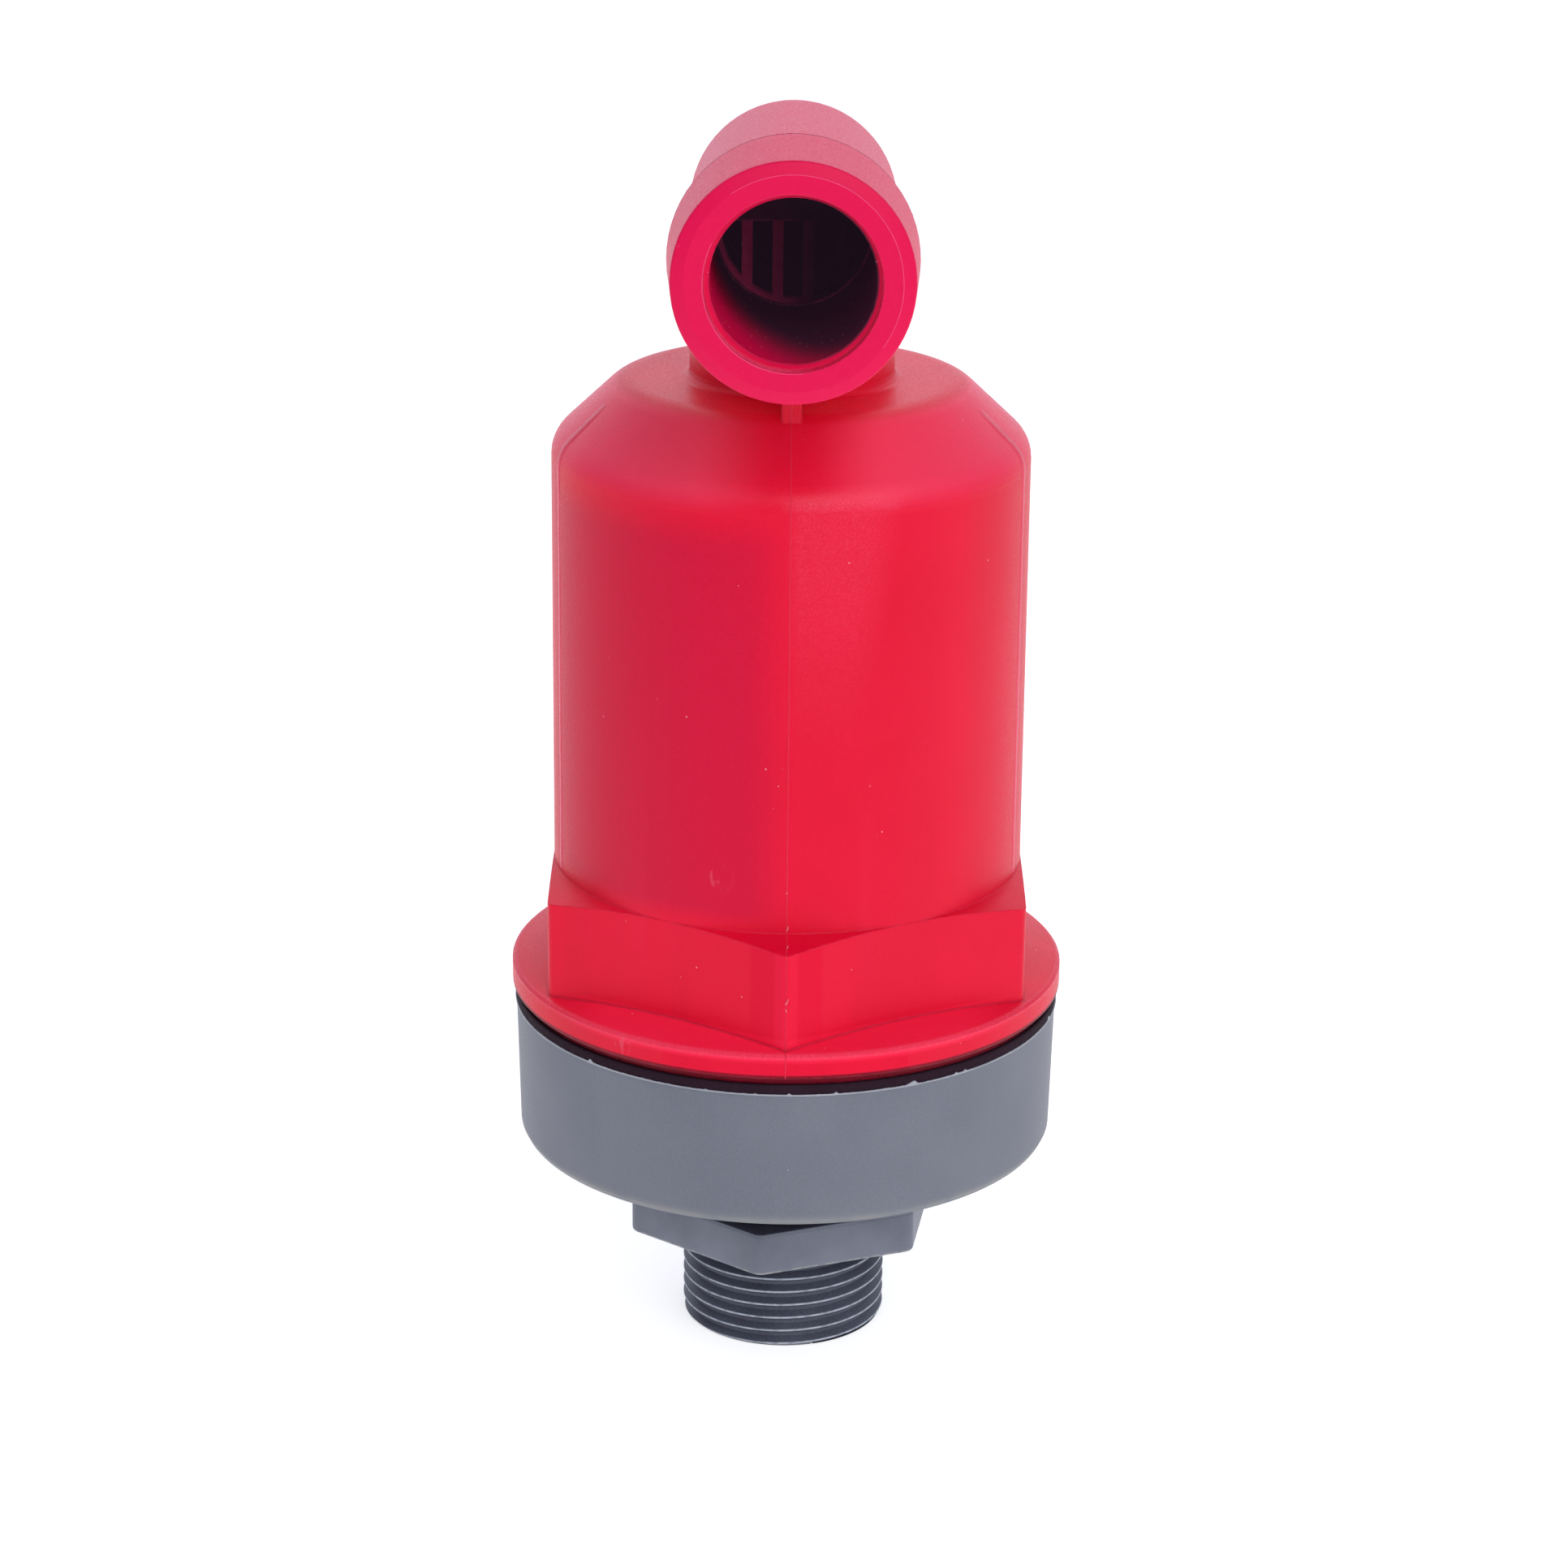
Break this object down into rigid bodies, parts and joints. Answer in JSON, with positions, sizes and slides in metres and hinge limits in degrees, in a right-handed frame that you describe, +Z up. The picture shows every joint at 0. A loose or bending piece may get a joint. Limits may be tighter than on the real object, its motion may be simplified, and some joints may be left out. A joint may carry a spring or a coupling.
{
  "type": "automatic air vent",
  "caption": "Float-type automatic air vent: domed red body with a side elbow outlet, screwed into a grey cup base with a male-threaded hex nipple below.",
  "frame": {"origin": "centre of the inlet nipple's lower end, on the vent's vertical axis", "axes": "+Z up along the vent's axis, from the inlet thread to the dome; the outlet points along -Y"},
  "size_m": [0.0888, 0.1014, 0.2039],
  "materials": {
    "red_plastic": "satin moulded polypropylene",
    "red_plastic_screen": "satin moulded polypropylene",
    "grey_plastic_cup": "satin moulded rigid plastic",
    "grey_plastic_nipple": "satin moulded rigid plastic",
    "black_rubber": "matte rubber",
    "dark_plastic": "matte moulded plastic",
    "white_plastic": "satin moulded plastic",
    "brass": "turned",
    "steel": "stainless steel"
  },
  "bodies": {
    "housing": {"body": "red_plastic", "outlet_screen": "red_plastic_screen", "base_cup": "grey_plastic_cup", "hex_nipple": "grey_plastic_nipple", "body_gasket": "black_rubber", "nipple_washer": "black_rubber", "inlet_strainer": "dark_plastic", "float_cage": "dark_plastic", "seat_ring": "white_plastic", "seat_o_ring": "black_rubber"},
    "float_plug": {"plug_disc": "dark_plastic", "plug_seal": "black_rubber", "orifice_nozzle": "brass", "nozzle_o_ring": "black_rubber", "lever_bracket": "white_plastic", "bracket_screws": "steel", "pivot_pin": "steel"},
    "float": {"float_lower_shell": "white_plastic", "float_upper_shell": "white_plastic", "float_ballast": "steel", "float_hanger": "white_plastic"},
    "lever": {"lever": "white_plastic", "lever_pad": "black_rubber", "link_pin": "steel"}
  },
  "joints": [
    {"name": "plug_lift", "type": "slide", "parent": "housing", "child": "float_plug", "axis": [0, 0, 1], "range_m": [0, 0.012]},
    {"name": "float_drop", "type": "slide", "parent": "float_plug", "child": "float", "axis": [0, 0, 1], "range_m": [0, 0.004]},
    {"name": "lever_swing", "type": "hinge", "parent": "float_plug", "child": "lever", "pos_m": [0, -0.009, 0.1246], "axis": [1, 0, 0], "range_deg": [0, 14.49]}
  ],
  "couplings": [
    {"joint": "lever_swing", "follows": "float_drop", "rad_per_m": 63.17}
  ]
}
